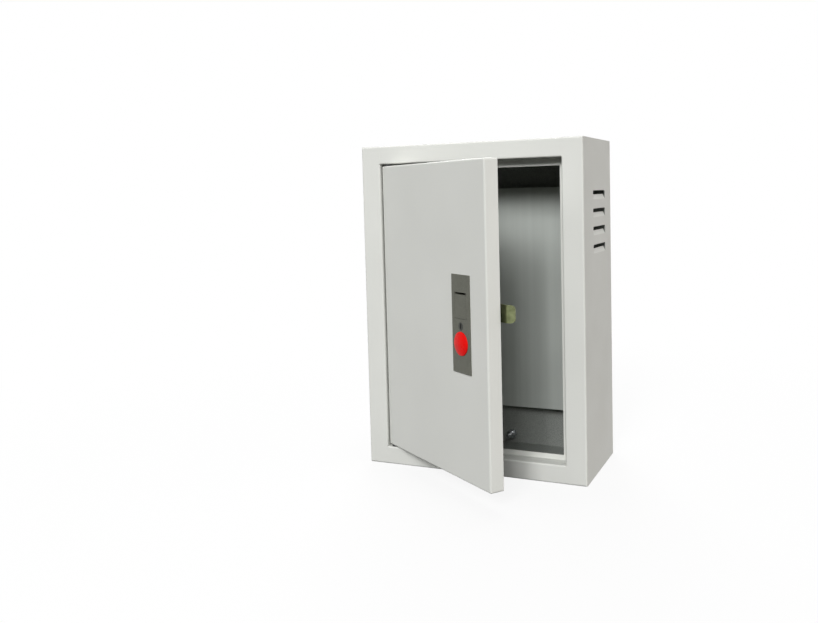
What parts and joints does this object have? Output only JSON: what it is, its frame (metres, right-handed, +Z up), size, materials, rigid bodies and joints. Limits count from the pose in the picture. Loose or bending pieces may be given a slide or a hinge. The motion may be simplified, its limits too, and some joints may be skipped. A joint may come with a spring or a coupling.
{
  "type": "electrical cabinet",
  "caption": "Wall-mounted sheet-steel electrical cabinet with an inset hinged door, a flush push-button lock with a turning latch, side louvres and an inner mounting plate.",
  "frame": {"origin": "centre of the cabinet's base, on its underside", "axes": "+Z up along the cabinet's height, the door's side faces -Y, the wall side faces +Y, hinges at -X"},
  "size_m": [0.28, 0.2651, 0.4],
  "materials": {
    "paint": "light grey powder coat, satin",
    "plate_paint": "light grey powder coat, satin",
    "lock_metal": "matt dark grey lacquer on die-cast zinc",
    "red_plastic": "moulded red, semi-gloss",
    "yellow_zinc": "yellow-green passivated zinc plate",
    "zinc_steel": "bright zinc plate",
    "key_metal": "dark nickel plate",
    "nylon": "black nylon"
  },
  "bodies": {
    "cabinet": {"body_wrap": "paint", "top_cap": "paint", "bottom_cap": "paint", "mounting_plate": "plate_paint", "plate_studs": "zinc_steel", "plate_rear_nuts": "zinc_steel", "plate_washers": "zinc_steel", "plate_front_nuts": "zinc_steel", "earth_stud": "zinc_steel", "earth_nuts": "zinc_steel", "earth_washer": "zinc_steel", "hinge_plate_upper": "zinc_steel", "hinge_plate_lower": "zinc_steel", "hinge_pin_upper": "zinc_steel", "hinge_pin_lower": "zinc_steel", "hinge_washer_upper": "nylon", "hinge_washer_lower": "nylon"},
    "door": {"door_panel": "paint", "hinge_socket_upper": "zinc_steel", "hinge_socket_lower": "zinc_steel", "lock_casting": "lock_metal", "lock_clips": "zinc_steel", "lock_screws": "zinc_steel", "flap_pin": "zinc_steel", "button_spring": "zinc_steel"},
    "flap": {"lock_flap": "lock_metal"},
    "cam": {"cam_spindle": "zinc_steel", "latch_cam": "yellow_zinc", "cam_washer": "zinc_steel", "cam_screw": "zinc_steel"},
    "key_core": {"key_cylinder": "key_metal"},
    "button": {"push_button": "red_plastic", "button_clip": "zinc_steel"}
  },
  "joints": [
    {"name": "door_hinge", "type": "hinge", "parent": "cabinet", "child": "door", "pos_m": [-0.106, -0.0645, 0.2], "axis": [0, 0, -1], "range_deg": [-35.5, 74.5]},
    {"name": "flap_lift", "type": "hinge", "parent": "door", "child": "flap", "pos_m": [0.03019, -0.16631, 0.22825], "axis": [-0.8141, 0.5807, 0], "range_deg": [0, 42]},
    {"name": "cam_turn", "type": "hinge", "parent": "door", "child": "cam", "pos_m": [0.03995, -0.15264, 0.21325], "axis": [-0.5807, -0.8141, 0], "range_deg": [0, 60]},
    {"name": "key_turn", "type": "hinge", "parent": "door", "child": "key_core", "pos_m": [0.02833, -0.16892, 0.19615], "axis": [0.5807, 0.8141, 0], "range_deg": [0, 90]},
    {"name": "button_press", "type": "slide", "parent": "door", "child": "button", "axis": [0.5807, 0.8141, 0], "range_m": [0, 0.003], "stiffness_N_per_m": 800}
  ],
  "couplings": [
    {"joint": "cam_turn", "follows": "flap_lift", "ratio": 1.4285}
  ]
}
